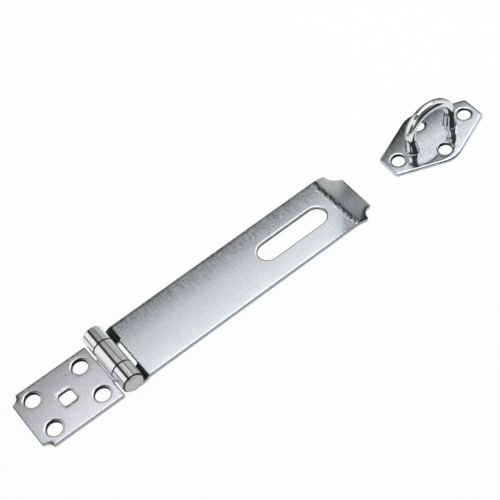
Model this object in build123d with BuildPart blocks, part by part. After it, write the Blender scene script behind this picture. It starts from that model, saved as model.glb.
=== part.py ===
from build123d import *
from math import acos, asin, atan2, cos, degrees, hypot, radians, sin, tan
import os

# Safety hasp, shown open: a hinge leaf, a slotted strap turned right over, and the staple that goes
# with them. The origin is the centre of the leaf's four screw holes, on its back face.
# +X runs along the strap to its tip and on to the staple, +Y along the hinge pin, +Z off the door.
# All sizes are in millimetres, all angles in degrees.

# Sheet, hinge pin and the clearances between them
sheet = 2.5
width = 44.5
pin_radius = 4.5
pin_clearance = 0.09
knuckle_gap = 0.3
leaf_gap = 0.5
edge_break = 0.4
hole_break = 0.5

# Hinge leaf
screw_pitch_x = 33.7
screw_pitch_y = 25.0
screw_radius = 4.8
leaf_far_reach = 28.1
leaf_notch = 5.0
square_hole = 9.2
square_corner = 1.8
pattern_to_pin = 34.0
middle_knuckle = 19.7
curl_mouth = 33.0

# Strap, measured along its own length from the hinge pin
strap_drop = 2.8
jog_start = 6.4
jog_radius = 4.6
cutout_reach = 10.1
cutout_corner = 1.0
slot_start = 107.0
slot_length = 50.1
slot_width = 14.3
bend_start = 163.4
bend_radius = 17.5
bend_angle = 15.7
tip_straight = 12.8
tip_notch = 8.0

# Low peened heads of the hinge pin
pin_head_radius = 6.2
pin_head_height = 1.15
pin_head_break = 0.6
pin_head_gap = 0.05

# Staple plate
staple_distance = 242.4
staple_offset = 1.6
plate_sheet = 1.9
plate_end_half = 8.6
plate_end_corner = 2.6
plate_middle_corner = 15.0
plate_break = 0.7
staple_pitch_y = 26.6
staple_screw_radius = 4.2
leg_to_screw = 10.9
screw_to_end = 8.4
screw_to_side = 10.6

# Staple loop, its flared feet and the shanks riveted through the plate
loop_radius = 3.4
loop_pitch = 31.4
loop_top = 28.6
leg_lean = 3.5
foot_radius = 4.7
foot_seat_radius = 4.3
foot_swell = 1.8
foot_belly = 4.0
foot_height = 8.0
foot_trim = 0.5
shank_radius = 3.0
shank_clearance = 0.05
rivet_radius = 4.2
rivet_angle = 90
rivet_recess = 0.1

# Sizes that follow from the ones above
bore_radius = pin_radius + pin_clearance
barrel_radius = bore_radius + sheet
pin_height = barrel_radius
half_width = width / 2
leaf_far = -leaf_far_reach
leaf_cut = pattern_to_pin - barrel_radius - leaf_gap
strap_inner = middle_knuckle / 2 + knuckle_gap
flat_top = -strap_drop
flat_bottom = flat_top - sheet
jog_rise = flat_bottom + barrel_radius
jog_angle = degrees(acos(1 - jog_rise / (2 * jog_radius)))
bend_run = bend_radius * sin(radians(bend_angle))
bend_fall = bend_radius * (1 - cos(radians(bend_angle)))
tip_end_x = bend_start + bend_run + tip_straight * cos(radians(bend_angle))
tip_end_y = flat_bottom - bend_fall - tip_straight * sin(radians(bend_angle))
staple_x = pattern_to_pin + staple_distance
arch_radius = loop_pitch / 2
staple_pitch_x = 2 * (arch_radius + leg_to_screw)
plate_half_length = staple_pitch_x / 2 + screw_to_end
plate_middle_half = staple_pitch_y / 2 + screw_to_side
arch_end_x = arch_radius * cos(radians(leg_lean))
arch_end_z = loop_top - arch_radius - arch_radius * sin(radians(leg_lean))
foot_x = arch_end_x - (arch_end_z - plate_sheet) * tan(radians(leg_lean))
foot_top_x = foot_x + foot_height * sin(radians(leg_lean))
foot_top_z = plate_sheet + foot_height * cos(radians(leg_lean))

# The open strap rests on the end of its bent tip, level with the leaf's back, so it slopes up a little.
tip_reach = hypot(tip_end_x, tip_end_y)
strap_slope = asin(-pin_height / tip_reach) - atan2(tip_end_y, tip_end_x)
tip_slope = strap_slope - radians(bend_angle)

# Planes along the open strap: from the side, from above, and from above its bent tip
pin_point = (pattern_to_pin, 0, pin_height)
strap_side = Plane(pin_point, x_dir=(cos(strap_slope), 0, sin(strap_slope)), z_dir=(0, -1, 0))
strap_plan = Plane(pin_point, x_dir=strap_side.x_dir, z_dir=strap_side.y_dir)
tip_end = strap_side.from_local_coords((tip_end_x, tip_end_y, 0))
tip_plan = Plane(
    tip_end, x_dir=(cos(tip_slope), 0, sin(tip_slope)), z_dir=(-sin(tip_slope), 0, cos(tip_slope))
)

# Planes of the staple: its back seen from above and from below, the plane that its loop lies in, and
# the plane of one foot, which leans with the leg above it
staple_foot = (staple_x, staple_offset, 0)
staple_plan = Plane(staple_foot)
staple_back = Plane(staple_foot, x_dir=(1, 0, 0), z_dir=(0, 0, -1))
staple_side = Plane(staple_foot, x_dir=(1, 0, 0), z_dir=(0, -1, 0))
foot_side = Plane(
    (staple_x + foot_x, staple_offset, plate_sheet),
    x_dir=(cos(radians(leg_lean)), 0, -sin(radians(leg_lean))),
    z_dir=(0, -1, 0),
)


def leaf_skin(depth):
    """One face of the leaf's sheet, depth inside the outer one: flat up to the pin, then the curl."""
    run = Line((leaf_cut - sheet, depth), (pattern_to_pin, depth))
    curl = CenterArc((pattern_to_pin, pin_height), barrel_radius - depth, -90, 270 + curl_mouth)
    return run @ 0, curl @ 1


def strap_skin(depth):
    """One face of the strap's sheet, depth inside the outer one: curl, jog, flat, bend and tip."""
    curl = CenterArc((0, 0), barrel_radius - depth, -curl_mouth, 270 + curl_mouth)
    under = Line(curl @ 1, (jog_start, depth - barrel_radius))
    rise = JernArc(under @ 1, (1, 0), jog_radius + sheet / 2 - depth, jog_angle)
    level = JernArc(rise @ 1, rise % 1, jog_radius - sheet / 2 + depth, -jog_angle)
    flat = Line(level @ 1, (bend_start, flat_bottom + depth))
    bend = JernArc(flat @ 1, (1, 0), bend_radius + depth, -bend_angle)
    tip = Line(bend @ 1, (bend @ 1) + (bend % 1) * tip_straight)
    return curl @ 0, tip @ 1


# Hinge leaf: the sheet runs under the pin and curls up and back over it
with BuildPart() as hinge_leaf:
    with BuildSketch(Plane.XZ):
        with BuildLine():
            outer_start, outer_end = leaf_skin(0)
            inner_start, inner_end = leaf_skin(sheet)
            Line(outer_start, inner_start)
            Line(outer_end, inner_end)
        make_face()
    extrude(amount=middle_knuckle / 2, both=True)
    with BuildSketch():
        with Locations((leaf_far, 0)):
            Rectangle(leaf_cut - leaf_far, width, align=(Align.MIN, Align.CENTER))
        with Locations((leaf_far, half_width), (leaf_far, -half_width)):
            Circle(leaf_notch, mode=Mode.SUBTRACT)
    extrude(amount=sheet)
    with BuildSketch():
        with GridLocations(screw_pitch_x, screw_pitch_y, 2, 2):
            Circle(screw_radius)
        RectangleRounded(square_hole, square_hole, square_corner)
    extrude(amount=sheet, mode=Mode.SUBTRACT)
    leaf_face = hinge_leaf.faces().filter_by(Plane.XY).sort_by(SortBy.AREA)[-2:].sort_by(Axis.Z)[-1]
    chamfer(leaf_face.inner_wires().edges(), hole_break)
    leaf_face = hinge_leaf.faces().filter_by(Plane.XY).sort_by(SortBy.AREA)[-2:].sort_by(Axis.Z)[-1]
    leaf_rim = leaf_face.outer_wire().edges()
    chamfer(leaf_rim.filter_by(lambda edge: edge.center().X < leaf_cut - edge_break), edge_break)

# Strap: two outer knuckles, a jog up to the flat, the long slot and the bent, notched tip
with BuildPart() as hasp_strap:
    with BuildSketch(strap_side):
        with BuildLine():
            outer_start, outer_end = strap_skin(0)
            inner_start, inner_end = strap_skin(sheet)
            Line(outer_start, inner_start)
            Line(outer_end, inner_end)
        make_face()
    extrude(amount=half_width, both=True)
    with BuildSketch(strap_plan):
        with Locations((cutout_reach, 0)):
            RectangleRounded(
                cutout_reach + 2 * barrel_radius,
                2 * strap_inner,
                cutout_corner,
                align=(Align.MAX, Align.CENTER),
            )
        with Locations((slot_start + slot_length / 2, 0)):
            SlotOverall(slot_length, slot_width)
    extrude(amount=2 * barrel_radius, both=True, mode=Mode.SUBTRACT)
    with BuildSketch(tip_plan):
        with Locations((0, half_width), (0, -half_width)):
            Circle(tip_notch)
    extrude(amount=2 * sheet, both=True, mode=Mode.SUBTRACT)
    flat_faces = hasp_strap.faces().filter_by(strap_plan).sort_by(SortBy.AREA)[-2:]
    chamfer(flat_faces[0].inner_wires().edges() + flat_faces[1].inner_wires().edges(), hole_break)
    strap_sides = hasp_strap.faces().filter_by(Axis.Y).group_by(Axis.Y)
    tip_faces = hasp_strap.faces().filter_by(tip_plan)
    tip_rim = tip_faces.edges().filter_by(lambda edge: edge.center().X > tip_end.X - tip_notch)
    chamfer(strap_sides[0].edges() + strap_sides[-1].edges() + tip_rim, edge_break)

# Hinge pin, peened into a low head over each end of the barrel
with BuildPart() as hinge_pin:
    with BuildSketch(Plane.XZ):
        with Locations((pattern_to_pin, pin_height)):
            Circle(pin_radius)
    extrude(amount=half_width + pin_head_gap, both=True)
    for side in (-1, 1):
        head_base = (pattern_to_pin, side * (half_width + pin_head_gap), pin_height)
        head_plane = Plane(head_base, x_dir=(1, 0, 0), z_dir=(0, side, 0))
        with BuildSketch(head_plane):
            Circle(pin_head_radius)
        extrude(amount=pin_head_height)
    chamfer(hinge_pin.edges().group_by(Axis.Y)[0] + hinge_pin.edges().group_by(Axis.Y)[-1], pin_head_break)

# Staple plate: a six-sided plate, widest across the loop, with four screw holes and two rivet seats
with BuildPart() as staple_plate:
    with BuildSketch(staple_plan) as plate_outline:
        with BuildLine():
            Polyline(
                (-plate_half_length, -plate_end_half),
                (0, -plate_middle_half),
                (plate_half_length, -plate_end_half),
                (plate_half_length, plate_end_half),
                (0, plate_middle_half),
                (-plate_half_length, plate_end_half),
                close=True,
            )
        make_face()
        corners = plate_outline.vertices().group_by(Axis.Y)
        fillet(corners[1] + corners[2], plate_end_corner)
        corners = plate_outline.vertices().group_by(Axis.Y)
        fillet(corners[0] + corners[-1], plate_middle_corner)
        with GridLocations(staple_pitch_x, 0, 2, 1):
            Circle(staple_screw_radius, mode=Mode.SUBTRACT)
        with GridLocations(0, staple_pitch_y, 1, 2):
            Circle(staple_screw_radius, mode=Mode.SUBTRACT)
    extrude(amount=plate_sheet)
    chamfer(staple_plate.faces().sort_by(Axis.Z)[-1].edges(), plate_break)
    with Locations(staple_back):
        with GridLocations(2 * foot_x, 0, 2, 1):
            CounterSinkHole(
                shank_radius + shank_clearance,
                rivet_radius + shank_clearance,
                counter_sink_angle=rivet_angle,
            )

# Staple loop: a round bar bent to a U on two full feet, with shanks riveted into the plate's back.
# The legs lean out from the feet to the arch; each foot leans with its leg and is cut level below.
with BuildPart() as staple_loop:
    with BuildSketch(foot_side):
        with BuildLine():
            Polyline(
                (0, -foot_trim),
                (foot_seat_radius, -foot_trim),
                (foot_seat_radius, 0),
                (foot_radius, foot_swell),
                (foot_radius, foot_belly),
                (loop_radius, foot_height),
                (0, foot_height),
                close=True,
            )
        make_face()
    revolve(axis=Axis(foot_side.origin, foot_side.y_dir))
    split(bisect_by=Plane((0, 0, plate_sheet)), keep=Keep.TOP)
    with BuildSketch(staple_side):
        with BuildLine():
            Polyline(
                (foot_x, plate_sheet),
                (foot_x, rivet_recess),
                (foot_x + rivet_radius - rivet_recess, rivet_recess),
                (foot_x + shank_radius, rivet_radius - shank_radius),
                (foot_x + shank_radius, plate_sheet),
                close=True,
            )
        make_face()
    revolve(axis=Axis((staple_x + foot_x, staple_offset, 0), (0, 0, 1)))
    mirror(about=Plane((staple_x, 0, 0), z_dir=(1, 0, 0)))
    with BuildLine(staple_side) as loop_path:
        leg = Line((-foot_top_x, foot_top_z), (-arch_end_x, arch_end_z))
        arch = ThreePointArc(leg @ 1, (0, loop_top), (arch_end_x, arch_end_z))
        Line(arch @ 1, (foot_top_x, foot_top_z))
    with BuildSketch(Plane(loop_path.line @ 0, z_dir=loop_path.line % 0)):
        Circle(loop_radius)
    sweep(path=loop_path.line)

os.makedirs("parts", exist_ok=True)
for name, piece in (
    ("hinge_leaf", hinge_leaf),
    ("hasp_strap", hasp_strap),
    ("hinge_pin", hinge_pin),
    ("staple_plate", staple_plate),
    ("staple_loop", staple_loop),
):
    piece.part.label = name
    export_step(piece.part, f"parts/{name}.step")
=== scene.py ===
import functools
import math

import bpy
import numpy as np
from mathutils.geometry import delaunay_2d_cdt
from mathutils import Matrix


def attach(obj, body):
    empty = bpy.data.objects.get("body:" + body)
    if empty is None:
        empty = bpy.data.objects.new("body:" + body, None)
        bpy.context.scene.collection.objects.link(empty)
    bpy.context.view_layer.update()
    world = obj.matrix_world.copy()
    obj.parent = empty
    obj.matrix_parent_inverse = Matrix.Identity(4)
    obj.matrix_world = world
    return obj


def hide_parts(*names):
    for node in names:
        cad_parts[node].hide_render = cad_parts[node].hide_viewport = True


bl_info = {
    "name": "Safety hasp",
    "version": (1, 0, 0),
    "blender": (4, 5, 0),
    "location": "3D View > Sidebar > Hasp",
    "description": "Builds a plated safety hasp laid open, with its staple, over the packed frame",
    "category": "Add Mesh",
}

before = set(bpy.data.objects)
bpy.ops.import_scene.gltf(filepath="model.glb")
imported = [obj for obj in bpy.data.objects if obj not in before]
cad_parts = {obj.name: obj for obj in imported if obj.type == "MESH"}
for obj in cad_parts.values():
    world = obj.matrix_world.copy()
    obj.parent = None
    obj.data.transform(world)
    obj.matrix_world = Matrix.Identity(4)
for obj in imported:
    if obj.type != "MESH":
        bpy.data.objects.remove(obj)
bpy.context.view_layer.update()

# Kinds of a sheet's faces: the plated face, near-black painted shade on rims and hole walls, and a torn wall
PLATED, PAINTED_SHADE, TORN = 0, 1, 2

SAMPLE = 0.00006  # step at which an outline is first sampled
HOLE_BLUR = 0.0001  # blur of outlines that have no sharp corners
RIM_GAP = 0.0004  # least distance from a rim to the lattice's points
EDGE_STRIP = 0.0024  # width of the strip along an edge that has a closer lattice

# The strap's slot and bend, along it from the pin's axis, which its shape and its finish share
SLOT_START, SLOT_LENGTH, SLOT_RADIUS = 0.107, 0.0501, 0.00715
BEND_START = 0.1634


# ---- sizes and finishes that a user may change ----


class HASP_PG_hinge(bpy.types.PropertyGroup):
    """The leaf, the strap and the pin that joins them."""

    sheet: bpy.props.FloatProperty(
        name="Sheet", description="Thickness of the leaf's and strap's sheet", default=0.0025, unit="LENGTH")
    width: bpy.props.FloatProperty(
        name="Width", description="Width of leaf and strap, along the pin", default=0.0445, unit="LENGTH")
    pin_place: bpy.props.FloatVectorProperty(
        name="Pin axis", description="A point on the pin's axis, at the middle of its length",
        default=(0.034, 0.0, 0.00709), subtype="TRANSLATION")
    barrel: bpy.props.FloatProperty(
        name="Barrel", description="Outer radius of the rolled knuckles", default=0.00709, unit="LENGTH")
    curl: bpy.props.FloatProperty(
        name="Curl", description="Angle through which each knuckle is rolled",
        default=math.radians(303), subtype="ANGLE")
    edge_round: bpy.props.FloatProperty(
        name="Edge round", description="Radius worn on the sheet's upper edges", default=0.0004,
        unit="LENGTH")
    hole_round: bpy.props.FloatProperty(
        name="Hole lip", description="Width of the lip pressed round each screw hole",
        default=0.0015, unit="LENGTH")
    slot_round: bpy.props.FloatProperty(
        name="Slot lip", description="Radius of the slot's upper lip", default=0.0007, unit="LENGTH")
    roll_width: bpy.props.FloatProperty(
        name="Roll width", description="Width over which shearing drew the upper face down along each edge",
        default=0.0018, unit="LENGTH")
    roll_depth: bpy.props.FloatProperty(
        name="Roll depth", description="How far shearing drew the upper face down at the edge",
        default=0.00014, unit="LENGTH")
    crown: bpy.props.FloatProperty(
        name="Crown", description="How far the flat's upper face falls off at its long sides",
        default=0.00008, unit="LENGTH")


class HASP_PG_staple(bpy.types.PropertyGroup):
    """The staple's plate and loop."""

    place: bpy.props.FloatVectorProperty(
        name="Place", description="Middle of the plate's back", default=(0.2764, 0.0016, 0.0),
        subtype="TRANSLATION")
    sheet: bpy.props.FloatProperty(
        name="Plate", description="Thickness of the staple's plate", default=0.0019, unit="LENGTH")
    plate_round: bpy.props.FloatProperty(
        name="Rim round", description="Radius of the plate's upper rim", default=0.0009, unit="LENGTH")
    bar: bpy.props.FloatProperty(
        name="Bar", description="Radius of the loop's round bar", default=0.0034, unit="LENGTH")
    arch: bpy.props.FloatProperty(
        name="Arch", description="Radius of the arch, to the middle of the bar", default=0.0157,
        unit="LENGTH")
    top: bpy.props.FloatProperty(
        name="Top", description="Height of the bar's middle line at the top of the arch",
        default=0.0286, unit="LENGTH")
    lean: bpy.props.FloatProperty(
        name="Lean", description="Angle by which each leg leans out", default=math.radians(3.5),
        subtype="ANGLE")


class HASP_PG_finish(bpy.types.PropertyGroup):
    """The zinc plate on sheet and bar."""

    sheet_colour: bpy.props.FloatVectorProperty(
        name="Sheet zinc", description="Colour of the plated sheet", default=(0.66, 0.70, 0.72),
        subtype="COLOR", size=3, min=0, max=1)
    bar_colour: bpy.props.FloatVectorProperty(
        name="Bar zinc", description="Colour of the plated bar and rolled barrel",
        default=(0.725, 0.75, 0.75), subtype="COLOR", size=3, min=0, max=1)
    satin: bpy.props.FloatProperty(
        name="Satin", description="Roughness of the flat sheet", default=0.17, min=0, max=1, subtype="FACTOR")
    bright: bpy.props.FloatProperty(
        name="Bright", description="Roughness of rolled and drawn surfaces", default=0.09, min=0, max=1,
        subtype="FACTOR")


# ---- surfaces ----


def follow(start, heading, segments, s):
    """Point and heading at each distance s along a line made of straights and arcs.

    segments is a list of (length, turning per unit length). Within one, the heading is its first value
    plus turning times distance, and the point is the integral of (cos, sin) of the heading.
    """
    lengths, turning = np.array(segments).T
    ends = np.concatenate([[0.0], np.cumsum(lengths)])
    headings = heading + np.concatenate([[0.0], np.cumsum(lengths * turning)])[:-1]

    def step(angle, turn, distance):
        """Travel over distance from a heading: a chord of an arc, or a straight where turn is zero."""
        half = turn * distance / 2
        chord = distance * np.sinc(half / np.pi)
        return np.stack([chord * np.cos(angle + half), chord * np.sin(angle + half)], axis=-1)

    corners = np.array(start) + np.concatenate(
        [np.zeros((1, 2)), np.cumsum(step(headings, turning, lengths), axis=0)])[:-1]
    which = np.clip(np.searchsorted(ends, s, side="right") - 1, 0, len(segments) - 1)
    along = s - ends[which]
    points = corners[which] + step(headings[which], turning[which], along)
    return points, headings[which] + turning[which] * along


def arc(centre, radius, start, end, points=48):
    """Points on a circle from one angle to another, in degrees."""
    angle = np.radians(np.linspace(start, end, points))
    return np.stack([centre[0] + radius * np.cos(angle), centre[1] + radius * np.sin(angle)], axis=-1)


def circle_hole(centre, radius):
    """A round hole's outline, run clockwise."""
    return arc(centre, radius, 360, 0, 181)[:-1]


def rounded_hole(centre, size, corner):
    """A rounded rectangle's outline, run clockwise: four quarter circles joined by straights."""
    x, y = size[0] / 2 - corner, size[1] / 2 - corner
    corners = ((x, y, 90), (x, -y, 0), (-x, -y, -90), (-x, y, -180))
    return np.concatenate([
        arc((centre[0] + a, centre[1] + b), corner, start, start - 90, 40) for a, b, start in corners])


def round_corners(corners, radii, points=24):
    """A polygon's outline with each corner replaced by its tangent arc.

    The arc's centre lies on the corner's bisector, at the radius over the sine of half the angle.
    """
    before, after = np.roll(corners, 1, axis=0), np.roll(corners, -1, axis=0)
    a = (before - corners) / np.linalg.norm(before - corners, axis=1)[:, None]
    b = (after - corners) / np.linalg.norm(after - corners, axis=1)[:, None]
    half = np.arccos(np.clip((a * b).sum(axis=1), -1, 1)) / 2
    middle = (a + b) / np.linalg.norm(a + b, axis=1)[:, None]
    centre = corners + middle * (radii / np.sin(half))[:, None]
    facing = np.arctan2(-middle[:, 1], -middle[:, 0])
    angle = facing[:, None] + np.linspace(-1, 1, points) * (np.pi / 2 - half)[:, None]
    circle = np.stack([np.cos(angle), np.sin(angle)], -1)
    return (centre[:, None, :] + radii[:, None, None] * circle).reshape(-1, 2)


def trace(outline, blur, turn=math.radians(6), stretch=0.004, curvature=None):
    """Resamples a closed outline, closely where it turns, with its outward normals.

    The outline is taken as complex numbers at even steps and blurred by a Gaussian in frequency, which
    rounds its corners. Points are then spread evenly in the sum of angle turned over turn, length over
    stretch, and the angle that the sheet itself is bent through over turn.
    """
    closed = np.concatenate([outline, outline[:1]])
    run = np.concatenate([[0.0], np.cumsum(np.hypot(*np.diff(closed, axis=0).T))])
    count = int(run[-1] / SAMPLE)
    even = np.linspace(0, run[-1], count, endpoint=False)
    z = np.interp(even, run, closed[:, 0]) + 1j * np.interp(even, run, closed[:, 1])
    frequency = np.fft.fftfreq(count, run[-1] / count)
    z = np.fft.ifft(np.fft.fft(z) * np.exp(-0.5 * (2 * np.pi * frequency * blur) ** 2))
    tangent = np.roll(z, -1) - np.roll(z, 1)
    tangent /= np.abs(tangent)
    step = np.abs(np.roll(z, -1) - z)
    bend = np.abs(np.angle(np.roll(tangent, -1) / tangent))
    if curvature is not None:
        bend = bend + np.abs(curvature(z.real)) * np.abs(np.roll(z.real, -1) - z.real)
    measure = np.concatenate([[0.0], np.cumsum(bend / turn + step / stretch)])
    total = int(np.ceil(measure[-1]))
    place = np.interp(np.arange(total) * measure[-1] / total, measure, np.arange(count + 1))
    ring = np.append(z, z[0])
    normal = np.append(tangent, tangent[0]) * -1j
    at = np.interp(place, np.arange(count + 1), ring)
    out = np.interp(place, np.arange(count + 1), normal)
    out /= np.abs(out)
    return np.stack([at.real, at.imag], axis=-1), np.stack([out.real, out.imag], axis=-1)


def inside(points, loops):
    """Which points lie inside the loops, by counting crossings of a ray along the first axis."""
    crossings = np.zeros(len(points), dtype=int)
    for loop in loops:
        a, b = loop, np.roll(loop, -1, axis=0)
        y = points[:, 1][:, None]
        spans = (a[:, 1] > y) != (b[:, 1] > y)
        rise = np.where(b[:, 1] == a[:, 1], 1.0, b[:, 1] - a[:, 1])
        x = a[:, 0] + (y - a[:, 1]) * (b[:, 0] - a[:, 0]) / rise
        crossings += (spans & (points[:, 0][:, None] < x)).sum(axis=1)
    return crossings % 2 == 1


def gaps(points, outline):
    """The distance from each point to each point of an outline."""
    return np.hypot(points[:, 0][:, None] - outline[:, 0], points[:, 1][:, None] - outline[:, 1])


def rim(sheet, roll, drop, bottom, dark_from=15, wall=TORN, foot=0.3, steps=7):
    """The sheet's edge from its upper to its lower face: a drawn-over roll, a wall and a small round.

    The roll is a quarter of an ellipse, roll wide and drop high. Gives for each step the distance in
    from the wall, the height over the sheet's middle, and the outward and upward parts of the normal,
    which are the sine and cosine divided by the ellipse's half axes and brought to length one. Last come
    the kinds of the strips between steps: the roll is painted near-black as shade from the angle
    dark_from in degrees on, the wall is of the kind wall down to the share foot of its height, and what
    lies under it is painted near-black as shade.
    """
    upper = np.linspace(0, np.pi / 2, steps)
    kinds = np.concatenate([
        np.where(np.degrees(upper[1:]) > dark_from + 1e-6, PAINTED_SHADE, PLATED), [wall] + 4 * [PAINTED_SHADE]])
    lower = np.linspace(np.pi / 2, np.pi, 4)
    line = foot * (sheet - drop - bottom) - sheet / 2 + bottom
    inset = np.concatenate([roll * (1 - np.sin(upper)), [0.0], bottom * (1 - np.sin(lower))])
    height = np.concatenate([
        sheet / 2 - drop * (1 - np.cos(upper)), [line], -sheet / 2 + bottom * (1 + np.cos(lower))])
    out = np.concatenate([np.sin(upper) / roll, [1.0], np.sin(lower)])
    up = np.concatenate([np.cos(upper) / drop, [0.0], np.cos(lower)])
    length = np.hypot(out, up)
    return inset, height, out / length, up / length, kinds


def sinking(loops, width, depth, crown):
    """How the upper face sinks near a sheet's cut edges, and how steeply, at any points of the blank.

    Within width of an edge it sinks by depth times the square of one minus distance over width, square
    to the edge's nearest point. crown(s, y) adds its own sink and slope along y.
    """
    outline, normals = (np.concatenate([loop[i] for loop in loops]) for i in (0, 1))

    def sink(points):
        """The drop and the slope at points, from the nearest point of the edges."""
        gap = gaps(points, outline)
        nearest = gap.argmin(axis=1)
        part = np.clip(1 - gap.min(axis=1) / width, 0, 1)
        drop, fall = crown(points[:, 0], points[:, 1])
        slope = (2 * depth / width * part)[:, None] * normals[nearest]
        slope[:, 1] += fall
        return drop + depth * part ** 2, slope
    return sink


def sheet_surface(loops, path, along, across, sink):
    """A flat blank with rounded edges, carried onto its side path.

    loops holds (points, outward normals, rim) for the outline and each hole, in (distance along the
    sheet, y). A point at distance s, across y and height n goes to path(s) + n times the path's normal,
    with y kept. Upper and lower faces join the rims by a Delaunay triangulation, which also takes the
    points of the lattice along by across that lie inside. sink(points) gives how far the upper face lies
    below its level and its slope. Returns vertices, faces, vertex normals and the faces' kinds.
    """
    flat, height, out, up, quads, kinds, first = [], [], [], [], [], [], 0
    upper_rings, lower_rings = [], []
    for points, normals, (inset, rise, outward, upward, strips) in loops:
        m, k = len(points), len(inset)
        flat.append((points[:, None, :] - inset[None, :, None] * normals[:, None, :]).reshape(-1, 2))
        height.append(np.tile(rise, m))
        out.append((outward[None, :, None] * normals[:, None, :]).reshape(-1, 2))
        up.append(np.tile(upward, m))
        grid = first + np.arange(m * k).reshape(m, k)
        after = np.roll(grid, -1, axis=0)
        quads.append(np.stack([grid[:, :-1], grid[:, 1:], after[:, 1:], after[:, :-1]], -1).reshape(-1, 4))
        kinds.append(np.tile(strips, m))
        upper_rings.append(grid[:, 0])
        lower_rings.append(grid[:, -1])
        first += m * k
    edge = np.concatenate(upper_rings)
    ring_points = np.concatenate(flat)[edge]
    starts = np.cumsum([0] + [len(ring) for ring in upper_rings])
    edges = np.concatenate([
        np.stack([np.arange(a, b), a + (np.arange(b - a) + 1) % (b - a)], -1)
        for a, b in zip(starts[:-1], starts[1:])])
    lattice = np.stack(np.meshgrid(along, across), -1).reshape(-1, 2)
    lattice = lattice[inside(lattice, [loop[0] for loop in loops])]
    lattice = lattice[gaps(lattice, ring_points).min(axis=1) > RIM_GAP]
    source = np.concatenate([ring_points, lattice])
    _, _, found, origins, _, _ = delaunay_2d_cdt(source.tolist(), edges.tolist(), [], 0, 1e-9)
    triangles = np.array([ids[0] for ids in origins])[np.array(found)]
    triangles = triangles[inside(source[triangles].mean(axis=1), np.split(ring_points, starts[1:-1]))]
    a, b, c = (source[triangles[:, i]] for i in range(3))
    area = (b[:, 0] - a[:, 0]) * (c[:, 1] - a[:, 1]) - (b[:, 1] - a[:, 1]) * (c[:, 0] - a[:, 0])
    triangles = np.where((area > 0)[:, None], triangles, triangles[:, ::-1])
    above = np.concatenate([edge, first + np.arange(len(lattice))])
    below = np.concatenate([
        np.concatenate(lower_rings), first + len(lattice) + np.arange(len(lattice))])
    half = loops[0][2][1].max()
    flat = np.concatenate(flat + [lattice, lattice])
    height = np.concatenate(height + [np.full(len(lattice), half), np.full(len(lattice), -half)])
    out = np.concatenate(out + [np.zeros((2 * len(lattice), 2))])
    up = np.concatenate(up + [np.ones(len(lattice)), -np.ones(len(lattice))])
    drop, slope = sink(flat)
    height = height - drop * (height + half) / (2 * half)
    out = out + slope * np.maximum(up, 0)[:, None]
    middle, heading = path(flat[:, 0])
    cos, sin = np.cos(heading), np.sin(heading)
    vertices = np.stack([middle[:, 0] - height * sin, flat[:, 1], middle[:, 1] + height * cos], -1)
    normals = np.stack([out[:, 0] * cos - up * sin, out[:, 1], out[:, 0] * sin + up * cos], -1)
    faces = [np.concatenate(quads), above[triangles], below[triangles[:, ::-1]]]
    kinds.append(np.zeros(2 * len(triangles), dtype=int))
    return vertices, faces, normals, np.concatenate(kinds)


def tube_surface(rings):
    """Closed rings of points joined in order, the first and last closed by a fan to their middles."""
    m, k, _ = rings.shape
    middles = rings[[0, -1]].mean(axis=1)
    vertices = np.concatenate([rings.reshape(-1, 3), middles])
    grid = np.arange(m * k).reshape(m, k)
    after = np.roll(grid, -1, axis=1)
    quads = np.stack([grid[:-1], after[:-1], after[1:], grid[1:]], -1).reshape(-1, 4)
    start = np.stack([np.full(k, m * k), after[0], grid[0]], -1)
    end = np.stack([np.full(k, m * k + 1), grid[-1], after[-1]], -1)
    return vertices, [quads, start, end]


def make_piece(name, materials, vertices, faces, normals=None, kinds=None, material_of=None):
    """Puts a worked-out surface into a mesh object at the origin, smooth, with its own normals.

    material_of gives each plated face's material from its middle. Where kinds are given, the last two
    materials go to the faces painted near-black as shade and to the torn faces.
    """
    mesh = bpy.data.meshes.new(name)
    mesh.from_pydata(vertices.tolist(), [], [face for group in faces for face in group.tolist()])
    mesh.polygons.foreach_set("use_smooth", np.ones(len(mesh.polygons), dtype=bool))
    for material in materials:
        mesh.materials.append(material)
    if kinds is not None:
        centres = np.empty(len(mesh.polygons) * 3)
        mesh.polygons.foreach_get("center", centres)
        plated = material_of(centres.reshape(-1, 3)) if material_of else 0
        index = np.where(kinds == PLATED, plated, len(materials) - 3 + kinds)
        mesh.polygons.foreach_set("material_index", index.astype(np.int32))
    mesh.update()
    if normals is not None:
        unit = normals / np.linalg.norm(normals, axis=1)[:, None]
        mesh.normals_split_custom_set_from_vertices(unit.tolist())
    piece = bpy.data.objects.new(name, mesh)
    bpy.context.scene.collection.objects.link(piece)
    return piece


def mirrored(*places):
    """Places on one side of the middle, followed by the same ones on the other side."""
    return (*places, *(-place for place in reversed(places)))


def stations(edges, counts):
    """Places in a row: each stretch between two edges cut into its own count of steps."""
    return np.unique(np.concatenate([
        np.linspace(a, b, n + 1) for a, b, n in zip(edges[:-1], edges[1:], counts)]))


# ---- finishes ----


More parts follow.
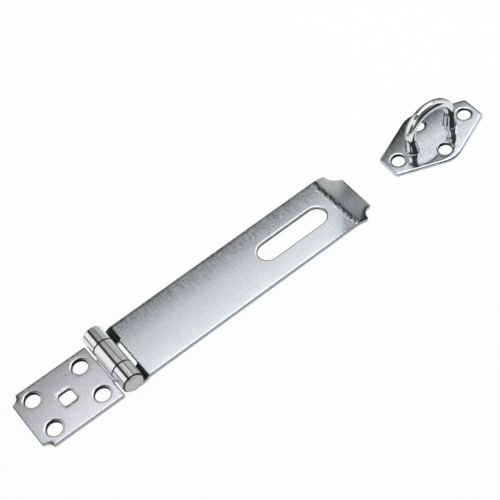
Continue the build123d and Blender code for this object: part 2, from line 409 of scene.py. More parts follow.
class Shader:
    """Adds nodes to one node tree. Its patterns read one kind of coordinates, made when first asked for."""

    def __init__(self, tree, coordinates="Object"):
        self.tree = tree
        self.coordinates = coordinates

    @functools.cached_property
    def place(self):
        return self.add("ShaderNodeTexCoord").outputs[self.coordinates]

    @functools.cached_property
    def axes(self):
        return self.add("ShaderNodeSeparateXYZ", {"Vector": self.place}).outputs

    def add(self, kind, inputs=None, **settings):
        """A node with its settings. Each input, by name or number, gets a value or a link from a socket."""
        node = self.tree.nodes.new(kind)
        for name, value in settings.items():
            setattr(node, name, value)
        for key, value in (inputs or {}).items():
            if isinstance(value, bpy.types.NodeSocket):
                self.tree.links.new(value, node.inputs[key])
            else:
                node.inputs[key].default_value = value
        return node

    def noise(self, scale, stretch, detail, distortion=0.0):
        """Cloudy noise from 0 to 1, on the coordinates times stretch and scale."""
        stretched = self.add("ShaderNodeMapping", {"Vector": self.place, "Scale": stretch}).outputs["Vector"]
        node = self.add("ShaderNodeTexNoise", {
            "Vector": stretched, "Scale": scale, "Detail": detail, "Distortion": distortion})
        return node.outputs["Fac"]

    def spread(self, value, low, high, start=0.3, end=0.7):
        """Low up to start and high from end on, with a straight line between."""
        node = self.add("ShaderNodeMapRange", {
            "Value": value, "From Min": start, "From Max": end, "To Min": low, "To Max": high})
        return node.outputs["Result"]

    def maths(self, operation, *values):
        """One sum, product or other operation on values that are numbers or sockets."""
        return self.add("ShaderNodeMath", dict(enumerate(values)), operation=operation).outputs["Value"]

    def times(self, first, second):
        """The product of two values."""
        return self.maths("MULTIPLY", first, second)

    def ridge(self, value, centre, half):
        """One near the centre, falling to zero half away from it."""
        away = self.maths("ABSOLUTE", self.maths("SUBTRACT", value, centre))
        return self.spread(away, 1.0, 0.0, 0.35 * half, half)

    def paint(self, amount, under, over):
        """One colour laid over another by an amount from 0 to 1; each is a fixed colour or a socket."""
        under, over = (
            colour if isinstance(colour, bpy.types.NodeSocket)
            else (*[max(0, min(1, part)) for part in colour], 1) for colour in (under, over))
        return self.add(
            "ShaderNodeMix", {"Factor": amount, "A": under, "B": over}, data_type="RGBA").outputs["Result"]


def barrel_painted_reflections(shader, mottles, axis):
    """Painted reflections on the barrel, as ridges in the angle about its axis, given as (x, z).

    The angle is the arc tangent of x over z, zero at the top. A broad mottled painted reflection lies on
    the top, a thin painted dark line beside it, and a painted dark line low on the leaf's side of the two
    outer knuckles only.
    """
    times, ridge, spread = shader.times, shader.ridge, shader.spread
    x, z = (shader.maths("SUBTRACT", shader.axes[name], at) for name, at in zip("XZ", axis))
    angle = shader.maths("ARCTAN2", x, z)
    waved = shader.maths("ADD", angle, spread(shader.noise(260, (1.0, 0.5, 1.0), 3), -0.05, 0.05))
    outer_knuckles = spread(shader.maths("ABSOLUTE", shader.axes["Y"]), 0.0, 1.0, 0.0095, 0.0102)
    return (
        (times(ridge(waved, -0.07, 0.24), spread(mottles, 0.5, 0.75)), (0.24, 0.22, 0.205)),
        (times(ridge(waved, 0.27, 0.07), 0.5), (0.2, 0.19, 0.185)),
        (times(ridge(angle, -0.83, 0.09), outer_knuckles), (0.12, 0.13, 0.13)))


def worn_marks(shader, colour, strength):
    """Scratches along the hinge and round spots, which grow from 2 mm to 20 mm toward the far side."""
    scratches = shader.spread(shader.noise(900, (1.0, 0.13, 1.0), 4, 1.5), 0.0, 1.0, 0.42, 0.66)
    spots = shader.spread(shader.noise(1300, (1.0, 0.8, 1.0), 3), 0.0, 1.0, 0.42, 0.66)
    growth = shader.spread(shader.axes["Y"], 0.03, 0.64, 0.002, 0.02)
    amount = shader.times(shader.times(shader.maths("ADD", scratches, spots), growth), strength)
    return ((amount, 0.3 * colour * (1.0, 0.97, 0.96)),)


def bend_painted_reflections(shader, mottles, crease):
    """Painted reflections and shade at the bend, by the distance along the strap past the crease.

    The crease is a ragged painted highlight, followed by a painted grey band and a ragged painted dark line.
    The tip beyond has painted light on its far side and painted shade on its near one.
    """
    times, ridge, spread = shader.times, shader.ridge, shader.spread
    along, across = shader.axes["X"], shader.axes["Y"]
    noise = shader.noise(420, (0.6, 1.0, 1.0), 4, 1.0)
    ragged = shader.maths("ADD", along, spread(noise, -0.0009, 0.0009))
    tip = spread(along, 0.0, 1.0, crease + 0.0026, crease + 0.0036)
    # Painted light on the tip's far side, painted shade on its near side
    clean = times(tip, spread(across, 0.0, 0.5, -0.006, 0.016))
    shaded = times(tip, spread(across, 0.8, 0.0, -0.022, -0.005))
    # Painted reflections along the crease: a grey band, a light line and a dark line
    painted_grey_band = ridge(ragged, crease + 0.0014, 0.0024)
    light, dark = ridge(ragged, crease, 0.0006), ridge(ragged, crease + 0.0022, 0.0017)
    return (
        (clean, (0.95, 0.98, 0.97)),
        (times(shaded, spread(mottles, 0.8, 1.15)), (0.08, 0.09, 0.09)),
        (times(painted_grey_band, spread(mottles, 0.0, 0.9, 0.35, 0.65)), (0.2, 0.21, 0.21)),
        (times(light, spread(noise, 0.0, 1.0, 0.42, 0.6)), (0.95, 0.96, 0.96)),
        (times(dark, spread(mottles, 0.3, 1.0, 0.35, 0.6)), (0.04, 0.045, 0.045)))


def slot_painted_lines(shader, middle, straight_half, radius, far_edge):
    """Painted highlight and shade lines beside the slot and the strap's far edge, by the distance from the
    slot's middle line.

    That distance is the root of across squared plus squared the way along past the slot's straight part.
    A painted dark line follows the slot's near side, a painted highlight its far side, and a painted dark
    line the far edge.
    """
    maths, times, ridge, spread = shader.maths, shader.times, shader.ridge, shader.spread
    along, across = shader.axes["X"], shader.axes["Y"]
    off = maths("ABSOLUTE", maths("SUBTRACT", along, middle))
    past = maths("MAXIMUM", maths("SUBTRACT", off, straight_half), 0.0)
    away = maths("SQRT", maths("ADD", times(past, past), times(across, across)))
    near, far = spread(across, 0.9, 0.0, 0.0, 0.005), spread(across, 0.0, 0.9, 0.0, 0.004)
    return (
        (times(ridge(away, radius + 0.0002, 0.0008), near), (0.05, 0.06, 0.06)),
        (times(ridge(away, radius + 0.0009, 0.0007), far), (0.96, 0.98, 0.98)),
        (spread(across, 0.0, 0.8, far_edge - 0.0009, far_edge - 0.0004), (0.07, 0.09, 0.085)))


def zinc(name, colour, roughness, grain, mottle, patches, worn=0.0, crease=None, barrel=None, slot=None):
    """Zinc plate: metal whose gloss, colour and normal vary on Object coordinates.

    Fine streaks run along the hinge, mottles are about a millimetre wide, and clouds change slowly. grain
    and mottle are the bumps of streaks and mottles, and patches is how much darker the mottles are. worn
    adds wear marks; crease, barrel and slot add the painted reflections, highlights and shade of the
    functions above.
    """
    material = bpy.data.materials.new(name)
    material.use_nodes = True
    surface = material.node_tree.nodes["Principled BSDF"].inputs
    surface["Metallic"].default_value = 1.0
    shader = Shader(material.node_tree)
    streaks = shader.noise(1100, (1.0, 0.1, 1.0), 3)
    mottles = shader.noise(850, (1.0, 0.7, 1.0), 3, 0.4)
    clouds = shader.noise(60, (1.0, 1.0, 1.0), 3, 0.4)
    cloudy = shader.spread(clouds, 0.0, 1.0)
    dulled = (1 - 1.6 * patches) * colour
    fresh = shader.paint(cloudy, colour * (0.98, 1.005, 0.99), colour * (1.005, 0.985, 1.01))
    dull = shader.paint(cloudy, dulled * (0.98, 1.0, 1.0), dulled * (1.0, 0.97, 0.99))
    plated = shader.paint(shader.spread(mottles, 1.0, 0.0), fresh, dull)
    # Painted reflections and shade of barrel, bend and slot, and wear marks, laid over the plated colour
    wear_and_painted_light = [
        *(barrel_painted_reflections(shader, mottles, barrel) if barrel else ()),
        *(worn_marks(shader, colour, worn) if worn else ()),
        *(bend_painted_reflections(shader, mottles, crease) if crease else ()),
        *(slot_painted_lines(shader, *slot) if slot else ())]
    for amount, over in wear_and_painted_light:
        plated = shader.paint(amount, plated, over)
    cloudy_gloss = shader.spread(clouds, 0.88 * roughness, 1.12 * roughness)
    gloss = shader.times(cloudy_gloss, shader.spread(streaks, 0.8, 1.2))
    fine = shader.add("ShaderNodeBump", {"Strength": grain, "Distance": 0.00002, "Height": streaks})
    slow = shader.add("ShaderNodeBump", {
        "Strength": mottle, "Distance": 0.0001, "Height": mottles, "Normal": fine.outputs["Normal"]})
    for socket, value in (("Base Color", plated), ("Roughness", gloss), ("Normal", slow.outputs["Normal"])):
        shader.tree.links.new(value, surface[socket])
    return material


def finishes(context, *names):
    """The named zinc finishes, each made once."""
    finish, hinge = context.scene.hasp_finish, context.scene.hasp_hinge
    pin_x, _, pin_z = hinge.pin_place
    slot = (pin_x + SLOT_START + SLOT_LENGTH / 2, SLOT_LENGTH / 2 - SLOT_RADIUS, SLOT_RADIUS, hinge.width / 2)
    sheet, bar = np.array(finish.sheet_colour[:]), np.array(finish.bar_colour[:])
    recipes = {
        "zinc_leaf_satin": dict(
            colour=sheet * (1.05, 1.0, 1.01), roughness=finish.satin, grain=0.4, mottle=0.25, patches=0.05,
            worn=0.25),
        # The strap carries the painted reflections and shade of the bend and the slot
        "zinc_strap_satin": dict(
            colour=sheet, roughness=finish.satin, grain=0.4, mottle=0.25, patches=0.05, worn=0.9,
            crease=pin_x + BEND_START, slot=slot),
        # The barrel carries painted reflections
        "zinc_barrel_bright": dict(
            colour=bar, roughness=finish.bright, grain=0.05, mottle=0.05, patches=0.0,
            barrel=(pin_x, pin_z)),
        # Near-black painted shade in the jog's hollow under the barrel
        "zinc_jog_painted_shade": dict(colour=0.07 * sheet, roughness=0.26, grain=0.3, mottle=0.3, patches=0.1),
        "zinc_plate_bright": dict(
            colour=sheet, roughness=0.1, grain=0.15, mottle=0.08, patches=0.16, worn=1.0),
        "zinc_loop_bright": dict(colour=bar, roughness=0.06, grain=0.03, mottle=0.05, patches=0.0),
        "zinc_pin_end": dict(
            colour=0.72 * bar * (1.0, 0.99, 0.95), roughness=0.25, grain=0.2, mottle=0.3, patches=0.1),
        # Near-black for the painted shade on rims and hole walls
        "zinc_painted_shade_line": dict(colour=0.03 * sheet, roughness=0.4, grain=0.1, mottle=0.1, patches=0.1),
        "zinc_torn_wall": dict(colour=0.85 * sheet, roughness=0.35, grain=0.2, mottle=0.1, patches=0.1),
    }
    return [bpy.data.materials.get(name) or zinc(name, **recipes[name]) for name in names]


def settle(piece, node, body):
    """The piece stands for its CAD node, which it hides, and rides on its body."""
    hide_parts(node)
    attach(piece, body)


# ---- pieces ----


class HASP_OT_leaf(bpy.types.Operator):
    """Builds the hinge leaf: a holed plate whose middle knuckle curls up and back over the pin"""

    bl_idname = "hasp.leaf"
    bl_label = "Hinge leaf"

    def execute(self, context):
        h = context.scene.hasp_hinge
        half, sheet, pin = h.width / 2, h.sheet, h.pin_place
        # Along the leaf its free end and the cuts beside its knuckle, then the knuckle's half width
        free_end, cut, knuckle = -0.0281, 0.02641, 0.00978
        notch, corner_blur = 0.005, 0.0005
        hole_x, hole_y, hole_radius = 0.01685, 0.0125, 0.0048
        square_side, square_corner, square_blur = 0.0092, 0.0021, 0.0003
        rolled = h.barrel - sheet / 2
        flat = pin[0] - free_end
        length = flat + h.curl * rolled
        segments = [(flat, 0.0), (h.curl * rolled, 1 / rolled)]

        def path(s):
            """The leaf's middle line: straight to under the pin, then round it."""
            return follow((free_end, sheet / 2), 0.0, segments, s)

        def curvature(s):
            """How sharply the leaf is bent: in the curl only."""
            return np.where(s > flat, 1 / rolled, 0.0)

        cut_s = cut - free_end
        outline = np.concatenate([
            arc((0, -half), notch, 90, 0),
            [[cut_s, -half], [cut_s, -knuckle], [length, -knuckle], [length, knuckle], [cut_s, knuckle],
             [cut_s, half]],
            arc((0, half), notch, 0, -90)])
        # The rims and hole walls carry near-black painted shade
        edge = rim(sheet, h.edge_round, h.edge_round, bottom=0.0002)
        lip = rim(sheet, h.hole_round, 0.85 * h.hole_round, bottom=0.0002, dark_from=40, wall=PAINTED_SHADE,
                  foot=0.1, steps=19)
        square_lip = rim(sheet, 0.0006, 0.0005, bottom=0.0002, dark_from=62, wall=PAINTED_SHADE, foot=0.8)
        loops = [(*trace(outline, corner_blur, curvature=curvature), edge)]
        for x in (-hole_x, hole_x):
            for y in (-hole_y, hole_y):
                loops.append((*trace(circle_hole((x - free_end, y), hole_radius), HOLE_BLUR), lip))
        square = rounded_hole((-free_end, 0), (square_side, square_side), square_corner)
        loops.append((*trace(square, square_blur), square_lip))
        along = stations((0, EDGE_STRIP, cut_s - EDGE_STRIP, cut_s, flat, length), (4, 22, 4, 5, 72))
        across = stations(
            mirrored(-half, EDGE_STRIP - half, -knuckle, EDGE_STRIP - knuckle), (4, 5, 5, 7, 5, 5, 4))

        def crown(s, y):
            """The flat falls toward its near side as the fourth power of the distance from the middle."""
            fade = 0.006
            part, near = h.crown * np.clip((flat - s) / fade, 0, 1), np.minimum(y, 0) / half
            return part * near ** 4, 4 * part / half * near ** 3

        drawn = sinking(loops, h.roll_width, h.roll_depth, crown)

        def sink(points):
            """The leaf's free end was cut clean, so nothing sinks there and all of it twice as far in."""
            drop, slope = drawn(points)
            clean = 0.002
            keep = np.clip((points[:, 0] - clean) / clean, 0, 1)
            return drop * keep, slope * keep[:, None]

        piece = make_piece(
            "leaf_rolled_sheet",
            finishes(context, "zinc_leaf_satin", "zinc_barrel_bright", "zinc_painted_shade_line", "zinc_torn_wall"),
            *sheet_surface(loops, path, along, across, sink), material_of=lambda at: at[:, 0] > cut + 0.0002)
        settle(piece, "hinge_leaf", "leaf")
        return {"FINISHED"}


class HASP_OT_strap(bpy.types.Operator):
    """Builds the strap: two knuckles, the jog, the slotted flat, the bend and the notched tip"""

    bl_idname = "hasp.strap"
    bl_label = "Strap"

    def execute(self, context):
        h = context.scene.hasp_hinge
        half, sheet, pin = h.width / 2, h.sheet, h.pin_place
        rolled = h.barrel - sheet / 2
        # The jog's two arcs lift the flat until its underside is the drop below the pin's axis
        jog_start, jog_radius, drop = 0.0064, 0.0046, 0.0053
        jog_angle = math.acos(1 - (h.barrel - drop) / (2 * jog_radius))
        jog_end = jog_start + 2 * jog_radius * math.sin(jog_angle)
        bend_radius, bend_angle = 0.0175 + sheet / 2, math.radians(15.7)
        # The tip's length and scooped corners, and the cut-out for the leaf's knuckle
        tip, notch, corner_blur = 0.0128, 0.008, 0.0005
        inner, reach, corner = 0.01022, 0.0101, 0.001
        segments = [
            (h.curl * rolled, 1 / rolled), (jog_start, 0.0), (jog_angle * jog_radius, 1 / jog_radius),
            (jog_angle * jog_radius, -1 / jog_radius), (BEND_START - jog_end, 0.0),
            (bend_angle * bend_radius, -1 / bend_radius), (tip, 0.0)]
        lengths, turning = np.array(segments).T
        ends = np.cumsum(lengths)
        slope = math.radians(0.7358)
        start_angle = 1.5 * math.pi - h.curl

        def path(s):
            """The strap's middle line about the pin, then turned by its slope and set on the pin."""
            begin = (rolled * math.cos(start_angle), rolled * math.sin(start_angle))
            points, heading = follow(begin, start_angle + math.pi / 2, segments, s)
            x = pin[0] + points[:, 0] * math.cos(slope) - points[:, 1] * math.sin(slope)
            z = pin[2] + points[:, 0] * math.sin(slope) + points[:, 1] * math.cos(slope)
            return np.stack([x, z], -1), heading + slope

        def curvature(s):
            """How sharply the strap is bent, by the segment that s lies in."""
            return turning[np.clip(np.searchsorted(ends, s), 0, len(turning) - 1)]

        length = ends[-1]
        cut = ends[3] - jog_radius * math.asin((jog_end - reach) / jog_radius)
        outline = np.concatenate([
            [[0, -half]], arc((length, -half), notch, 180, 90), arc((length, half), notch, 270, 180),
            [[0, half], [0, inner]],
            arc((cut - corner, inner - corner), corner, 90, 0),
            arc((cut - corner, corner - inner), corner, 0, -90), [[0, -inner]]])
        slot_at = ends[3] + SLOT_START - jog_end
        slot = np.concatenate([
            arc((slot_at + SLOT_RADIUS, 0), SLOT_RADIUS, 270, 90),
            arc((slot_at + SLOT_LENGTH - SLOT_RADIUS, 0), SLOT_RADIUS, 90, -90)])
        # The rims carry near-black painted shade
        edge = rim(sheet, h.edge_round, h.edge_round, bottom=0.00035)
        lip = rim(sheet, h.slot_round, 0.8 * h.slot_round, bottom=0.0003, dark_from=60, foot=0.7, steps=13)
        loops = [(*trace(outline, corner_blur, curvature=curvature), edge), (*trace(slot, HOLE_BLUR), lip)]
        along = stations((0, *ends[:-1], length - EDGE_STRIP, length), (72, 3, 10, 10, 40, 8, 4, 4))
        across = stations(
            mirrored(-half, EDGE_STRIP - half, -EDGE_STRIP - inner, -inner), (4, 5, 5, 10, 5, 5, 4))

        def crown(s, y):
            """The flat falls toward its long sides as the fourth power of the distance from the middle."""
            fade = 0.004
            part = h.crown * np.clip((s - ends[3]) / fade, 0, 1) * np.clip((ends[4] - s) / fade, 0, 1)
            return part * (y / half) ** 4, 4 * part / half * (y / half) ** 3

        sink = sinking(loops[:1], h.roll_width, h.roll_depth, crown)
        vertices, faces, normals, kinds = sheet_surface(loops, path, along, across, sink)
        # Past the cut-out the near part of the jog runs out flat: what faces up there is lit as the flat is
        jog_far_end = jog_end + 0.001
        upright = normals[:, 2] > 0.85 * np.linalg.norm(normals, axis=1)
        ahead = (vertices[:, 0] > pin[0] + reach - 0.0002) & (vertices[:, 0] < pin[0] + jog_far_end)
        normals[upright & ahead & (vertices[:, 1] < inner)] = (-math.sin(slope), 0, math.cos(slope))

        def finish_of(at):
            """0 satin flat, 1 bright knuckle, 2 jog painted near-black as shade, by place along the strap and
            height.
            """
            past_pin, shade_start, shade_near_end = at[:, 0] - pin[0], jog_start - 0.0004, jog_end - 0.0013
            shade_end = np.where(at[:, 1] > inner, jog_far_end, shade_near_end)
            over_pin, over_flat = 0.004, 0.0035
            barrel = (past_pin < over_pin) | ((past_pin < h.barrel) & (at[:, 2] > over_flat))
            jog = (past_pin > shade_start) & (past_pin < shade_end)
            return np.where(barrel, 1, np.where(jog, 2, 0))

        piece = make_piece(
            "strap_rolled_sheet",
            finishes(context, "zinc_strap_satin", "zinc_barrel_bright", "zinc_jog_painted_shade", "zinc_painted_shade_line",
                     "zinc_torn_wall"),
            vertices, faces, normals, kinds, finish_of)
        settle(piece, "hasp_strap", "strap")
        return {"FINISHED"}


class HASP_OT_pin(bpy.types.Operator):
    """Builds the hinge pin, a rod with a low peened head over each end of the barrel"""

    bl_idname = "hasp.pin"
    bl_label = "Hinge pin"

    def execute(self, context):
        h = context.scene.hasp_hinge
        shank, head, thick, gap, bevel = 0.0045, 0.0062, 0.00115, 0.00005, 0.0001
        shoulder, rise = 0.0011, 0.0009
        groove_radius, groove_width, groove_depth, sunk = 0.0047, 0.0003, 0.00026, 0.0001
        face = h.width / 2 + gap
        # Half the profile, as radius and distance along: shank, head, elliptic shoulder and end face. The
        # face has a groove whose depth is a bell curve of the radius, and lies a little lower inside it
        turn = np.radians(np.linspace(0, 90, 13))
        inner = np.linspace(head - shoulder, 0.0001, 60)[1:]
        hollow = groove_depth * np.exp(-((inner - groove_radius) / groove_width) ** 2)
        hollow += sunk * (inner < groove_radius)
        radius = np.concatenate([
            [shank, shank, head - bevel, head], head - shoulder * (1 - np.cos(turn)), inner])
        reach = np.concatenate([
            [0.0, face, face, face + bevel], face + thick - rise * (1 - np.sin(turn)), face + thick - hollow])
        radius = np.concatenate([radius[::-1], radius[1:]])
        reach = np.concatenate([-reach[::-1], reach[1:]])
        angle = np.linspace(0, 2 * np.pi, 96, endpoint=False)
        rings = np.stack([
            h.pin_place[0] + radius[:, None] * np.sin(angle),
            np.repeat(reach[:, None], len(angle), axis=1),
            h.pin_place[2] + radius[:, None] * np.cos(angle)], -1)
        piece = make_piece("pin_peened_rod", finishes(context, "zinc_pin_end"), *tube_surface(rings))
        settle(piece, "hinge_pin", "strap")
        return {"FINISHED"}


class HASP_OT_staple_plate(bpy.types.Operator):
    """Builds the staple's six-sided plate with its four lipped screw holes"""

    bl_idname = "hasp.staple_plate"
    bl_label = "Staple plate"

    def execute(self, context):
        s = context.scene.hasp_staple
        long_half, end_half, middle_half = 0.035, 0.0086, 0.0239
        end_round, middle_round = 0.0026, 0.015
        hole_x, hole_y, hole_radius = 0.0266, 0.0133, 0.0042
        corners = np.array([
            (-long_half, -end_half), (0, -middle_half), (long_half, -end_half), (long_half, end_half),
            (0, middle_half), (-long_half, end_half)])
        rounds = np.array(2 * [end_round, middle_round, end_round])
        outline = round_corners(corners, rounds) + np.array(s.place[:2])
        rise = s.plate_round
        # The rim's lower round and the hole walls carry near-black painted shade
        edge = rim(s.sheet, 1.7 * rise, rise, bottom=0.0002, dark_from=90, wall=PLATED, steps=11)
        lip = rim(s.sheet, 0.0016, 0.0012, bottom=0.0001, dark_from=46, wall=PAINTED_SHADE, foot=0.1, steps=19)
        loops = [(*trace(outline, HOLE_BLUR), edge)]
        for x, y in ((-hole_x, 0), (hole_x, 0), (0, -hole_y), (0, hole_y)):
            hole = circle_hole((s.place[0] + x, s.place[1] + y), hole_radius)
            loops.append((*trace(hole, HOLE_BLUR), lip))

        def path(along):
            """The plate's middle, level and straight."""
            return np.stack([along, np.full(len(along), s.sheet / 2)], -1), np.zeros(len(along))

        along = s.place[0] + np.linspace(-long_half, long_half, 57)
        across = s.place[1] + np.linspace(-middle_half, middle_half, 37)
        roll_width, roll_depth = 0.0022, 0.00012
        sink = sinking(loops, roll_width, roll_depth, lambda along, y: (0.0 * y, 0.0 * y))
        piece = make_piece(
            "staple_pressed_plate",
            finishes(context, "zinc_plate_bright", "zinc_painted_shade_line", "zinc_torn_wall"),
            *sheet_surface(loops, path, along, across, sink))
        settle(piece, "staple_plate", "leaf")
        return {"FINISHED"}


class HASP_OT_staple_loop(bpy.types.Operator):
    """Builds the staple's loop: one round bar from rivet to rivet, full at its feet"""

    bl_idname = "hasp.staple_loop"
    bl_label = "Staple loop"

    def execute(self, context):
        s = context.scene.hasp_staple
        springing = s.top - s.arch
        end_x = s.arch * math.cos(s.lean)
        end_z = springing - s.arch * math.sin(s.lean)
        foot_x = end_x - (end_z - s.sheet) * math.tan(s.lean)
        # One leg up to the arch, by height and radius: in the plate the rivet's cone and the shank, and over
        # it the bar, which swells down to its foot by a smooth step and to a small lip by a square
        rivet_z = np.array([0.0001, 0.0001, 0.0012, s.sheet, s.sheet])
        rivet_r = np.array([0.0003, 0.00405, 0.003, 0.003, 0.0046])
        foot_radius, foot_height, lip, lip_height = 0.0043, 0.0104, 0.0004, 0.0008
        up = np.linspace(0, end_z - s.sheet, 40)[1:]
        part = np.clip(1 - up / foot_height, 0, 1)
        swell = (foot_radius - s.bar) * part ** 2 * (3 - 2 * part)
        swell += lip * np.clip(1 - up / lip_height, 0, 1) ** 2
        leg_z = np.concatenate([rivet_z, s.sheet + up])
        leg_r = np.concatenate([rivet_r, s.bar + swell])
        leg_x = foot_x + np.maximum(leg_z - s.sheet, 0) * math.tan(s.lean)
        tilt = s.lean * np.clip((leg_z - s.sheet) / (end_z - s.sheet), 0, 1)
        turn = np.linspace(-s.lean, math.pi + s.lean, 90)[1:-1]
        x = np.concatenate([leg_x, s.arch * np.cos(turn), -leg_x[::-1]])
        z = np.concatenate([leg_z, springing + s.arch * np.sin(turn), leg_z[::-1]])
        r = np.concatenate([leg_r, np.full(len(turn), s.bar), leg_r[::-1]])
        # The section's outward direction: level at the foot, along the arch's radius above it
        lean = np.concatenate([-tilt, turn, math.pi + tilt[::-1]])
        angle = np.linspace(0, 2 * np.pi, 64, endpoint=False)
        rings = np.stack([
            s.place[0] + x[:, None] + r[:, None] * np.cos(angle) * np.cos(lean)[:, None],
            s.place[1] - r[:, None] * np.sin(angle),
            z[:, None] + r[:, None] * np.cos(angle) * np.sin(lean)[:, None]], -1)
        piece = make_piece("staple_round_bar", finishes(context, "zinc_loop_bright"), *tube_surface(rings))
        settle(piece, "staple_loop", "leaf")
        return {"FINISHED"}


# ---- stage ----


def rectangle(low, high):
    """The corners of a level or upright rectangle, in order, from two opposite ones."""
    first, second = [axis for axis in range(3) if low[axis] != high[axis]]
    beside, above = list(low), list(low)
    beside[first], above[second] = high[first], high[second]
    return [low, tuple(beside), high, tuple(above)]


def set_stops(ramp, stops):
    """Puts (position, grey level) stops into a colour ramp."""
    for index, (position, level) in enumerate(stops):
        stop = ramp.elements[index] if index < 2 else ramp.elements.new(position)
        stop.position = position
        stop.color = (level, level, level, 1)


def flat_sheet(name, corners, finish):
    """One flat face of the stage, with the empty shader of its new material."""
    mesh = bpy.data.meshes.new(name)
    mesh.from_pydata(corners, [], [tuple(range(len(corners)))])
    sheet = bpy.data.objects.new(name, mesh)
    bpy.context.scene.collection.objects.link(sheet)
    material = bpy.data.materials.new(finish)
    material.use_nodes = True
    material.node_tree.nodes.clear()
    mesh.materials.append(material)
    return sheet, Shader(material.node_tree)


def card(name, corners, level, falls):
    """A flat panel of light or shade that the camera doesn't see.

    Its light is the level times one eased curve for each axis in falls, given as (place, share) stops.
    """
    panel, shader = flat_sheet(name, corners, name)
    for axis, stops in falls.items():
        (start, _), (end, _) = stops[0], stops[-1]
        part = shader.spread(shader.axes[axis], 0.0, 1.0, start, end)
        curve = shader.add("ShaderNodeValToRGB", {"Fac": part})
        curve.color_ramp.interpolation = "EASE"
        set_stops(curve.color_ramp, [((at - start) / (end - start), share) for at, share in stops])
        level = shader.times(curve.outputs["Color"], level)
    glow = shader.add("ShaderNodeEmission", {"Strength": level})
    shader.add("ShaderNodeOutputMaterial", {"Surface": glow.outputs["Emission"]})
    panel.visible_camera = False
    return panel


FLAG_LIFT = 0.0003  # height of the flags that lie on the floor

# Name, corners, light and its falls: the soft light over all, then what flat pieces mirror
LIGHTS = (
    ("softbox_cloth", rectangle((-0.08, -0.10, 0.4), (0.62, 0.36, 0.4)), 2.5, {
        "X": ((-0.08, 0.03), (-0.03, 0.2), (-0.004, 0.66), (0.012, 0.8), (0.03, 0.84), (0.30, 0.86),
              (0.45, 1.0)),
        "Y": ((-0.10, 0.9), (0.10, 0.8), (0.20, 0.66), (0.25, 0.54), (0.262, 0.505), (0.278, 0.43),
              (0.292, 0.35), (0.305, 0.24), (0.335, 0.11), (0.36, 0.02))}),
    ("plate_flag", rectangle((0.405, 0.27, 0.39), (0.62, 0.36, 0.39)), 0.95, {
        "Y": ((0.27, 1.0), (0.277, 0.5), (0.283, 0.24), (0.294, 0.16), (0.36, 0.14))}),
    ("back_card", rectangle((0.36, 0.75, 0.0), (0.95, 0.75, 0.17)), 0.32, {}))

# Dark cards that only polished pieces mirror: they throw no shadow and don't tint matt surfaces
FLAGS = (
    ("near_floor_flag", rectangle((0.1, -0.42, FLAG_LIFT), (0.335, -0.042, FLAG_LIFT)), 0.94, {
        "Y": ((-0.42, 0.07), (-0.072, 0.07), (-0.042, 0.9))}),
    ("loop_front_flag", rectangle((0.25, -0.08, 0.0), (0.40, -0.08, 0.1)), 0.05, {}),
    ("low_flag", rectangle((-0.3, -0.415, 0.0), (0.3, -0.415, 0.09)), 0.05, {}),
    ("far_floor_flag", [
        (x, y, FLAG_LIFT) for x, y in (
            (0.9, 0.7), (0.22, 0.7), (0.22, 0.03), (0.2424, 0.0125), (0.2764, 0.0275), (0.3104, 0.0125),
            (0.9, 0.03))], 0.42, {}),
    ("loop_back_flag", rectangle((0.262, 0.05, 0.0), (0.40, 0.05, 0.075)), 1.2, {
        "X": ((0.262, 0.5), (0.283, 0.55), (0.298, 1.0), (0.318, 1.0), (0.335, 0.8), (0.40, 0.8)),
        "Z": ((0.0, 0.08), (0.035, 0.09), (0.047, 0.17), (0.053, 0.35), (0.0575, 0.52), (0.066, 0.8),
              (0.075, 0.95))}),
    ("loop_corner_flag", rectangle((0.243, 0.05, 0.05), (0.27, 0.05, 0.1)), 0.15, {}),
    ("loop_side_flag", rectangle((0.225, -0.02, 0.078), (0.225, 0.045, 0.125)), 0.2, {}),
    ("leg_front_flag", rectangle((0.205, -0.08, 0.045), (0.25, -0.08, 0.1)), 0.05, {}),
    ("leg_side_flag", rectangle((0.225, -0.03, 0.012), (0.225, -0.003, 0.045)), 0.1, {}))


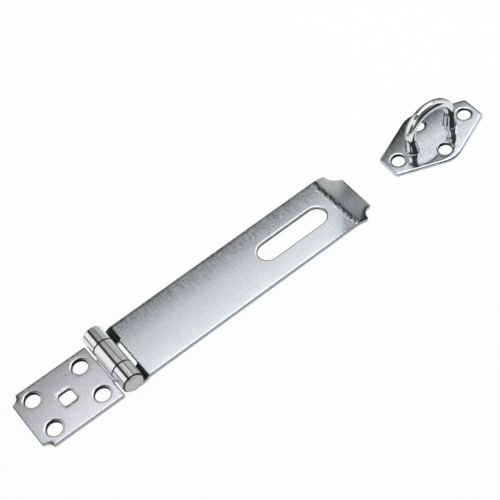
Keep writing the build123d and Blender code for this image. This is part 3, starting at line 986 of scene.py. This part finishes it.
class HASP_OT_stage(bpy.types.Operator):
    """Sets the pale floor, the soft studio light and the camera"""

    bl_idname = "hasp.stage"
    bl_label = "Stage"

    def execute(self, context):
        scene = context.scene
        reach, below = 12.0, -1e-5
        floor, paper = flat_sheet(
            "floor", rectangle((-reach, -reach, below), (reach, reach, below)), "floor_paper")
        matt = paper.add("ShaderNodeBsdfDiffuse", {"Color": (0.9, 0.9, 0.9, 1)})
        glow = paper.add("ShaderNodeEmission", {"Strength": 1.0})
        # Seen directly, mirrored or through glass, the floor is nearly white; else it takes shadows
        ray = paper.add("ShaderNodeLightPath").outputs
        seen = paper.maths("MAXIMUM", ray["Is Camera Ray"], ray["Is Glossy Ray"])
        seen = paper.maths("MAXIMUM", seen, ray["Is Transmission Ray"])
        mix = paper.add("ShaderNodeMixShader", {
            "Fac": paper.times(seen, 0.94), 1: matt.outputs["BSDF"], 2: glow.outputs["Emission"]})
        paper.add("ShaderNodeOutputMaterial", {"Surface": mix.outputs["Shader"]})

        world = bpy.data.worlds.new("studio")
        scene.world = world
        world.use_nodes = True
        # The sky's light by height above the horizon, dimmed toward the far right
        sky = Shader(world.node_tree, "Generated")
        height = sky.add("ShaderNodeValToRGB", {"Fac": sky.axes["Z"]})
        set_stops(height.color_ramp, ((0.665, 1.0), (0.705, 0.055), (0.85, 0.055), (1.0, 0.2)))
        toward = sky.add("ShaderNodeVectorMath", {0: sky.place, 1: (0.6, 0.8, 0.0)}, operation="DOT_PRODUCT")
        background = world.node_tree.nodes["Background"].inputs
        sky.tree.links.new(height.outputs["Color"], background["Color"])
        sky.tree.links.new(sky.spread(toward.outputs["Value"], 1.1, 0.58, 0.3, 0.8), background["Strength"])

        for light in LIGHTS:
            card(*light)
        for entry in FLAGS:
            flag = card(*entry)
            flag.visible_shadow = False
            flag.visible_diffuse = False

        camera = bpy.data.cameras.new("camera")
        camera.sensor_width = 36
        camera.lens = 114.352
        camera.shift_x, camera.shift_y = -0.0008, 0.0008
        camera.clip_start, camera.clip_end = 0.05, 50
        eye = bpy.data.objects.new("camera", camera)
        eye.location = (-0.08894, -0.52834, 0.76133)
        eye.rotation_euler = [math.radians(v) for v in (36.4771, 10.0032, -36.3536)]
        scene.collection.objects.link(eye)
        scene.camera = eye
        scene.view_settings.view_transform = "Standard"
        return {"FINISHED"}


class HASP_PT_panel(bpy.types.Panel):
    """Lists the hasp's pieces, sizes and finishes in the sidebar"""

    bl_idname = "HASP_PT_panel"
    bl_label = "Safety hasp"
    bl_space_type = "VIEW_3D"
    bl_region_type = "UI"
    bl_category = "Hasp"

    def draw(self, context):
        column = self.layout.column()
        for operator in OPERATORS:
            column.operator(operator.bl_idname)
        for group in (context.scene.hasp_hinge, context.scene.hasp_staple, context.scene.hasp_finish):
            for name in group.__annotations__:
                column.prop(group, name)


OPERATORS = (
    HASP_OT_leaf, HASP_OT_strap, HASP_OT_pin, HASP_OT_staple_plate, HASP_OT_staple_loop, HASP_OT_stage)
CLASSES = (HASP_PG_hinge, HASP_PG_staple, HASP_PG_finish, *OPERATORS, HASP_PT_panel)


def register():
    for cls in CLASSES:
        bpy.utils.register_class(cls)
    bpy.types.Scene.hasp_hinge = bpy.props.PointerProperty(type=HASP_PG_hinge)
    bpy.types.Scene.hasp_staple = bpy.props.PointerProperty(type=HASP_PG_staple)
    bpy.types.Scene.hasp_finish = bpy.props.PointerProperty(type=HASP_PG_finish)


def unregister():
    del bpy.types.Scene.hasp_finish
    del bpy.types.Scene.hasp_staple
    del bpy.types.Scene.hasp_hinge
    for cls in reversed(CLASSES):
        bpy.utils.unregister_class(cls)


def main():
    register()
    bpy.ops.hasp.leaf()
    bpy.ops.hasp.strap()
    bpy.ops.hasp.pin()
    bpy.ops.hasp.staple_plate()
    bpy.ops.hasp.staple_loop()
    bpy.ops.hasp.stage()


if __name__ == "__main__":
    main()
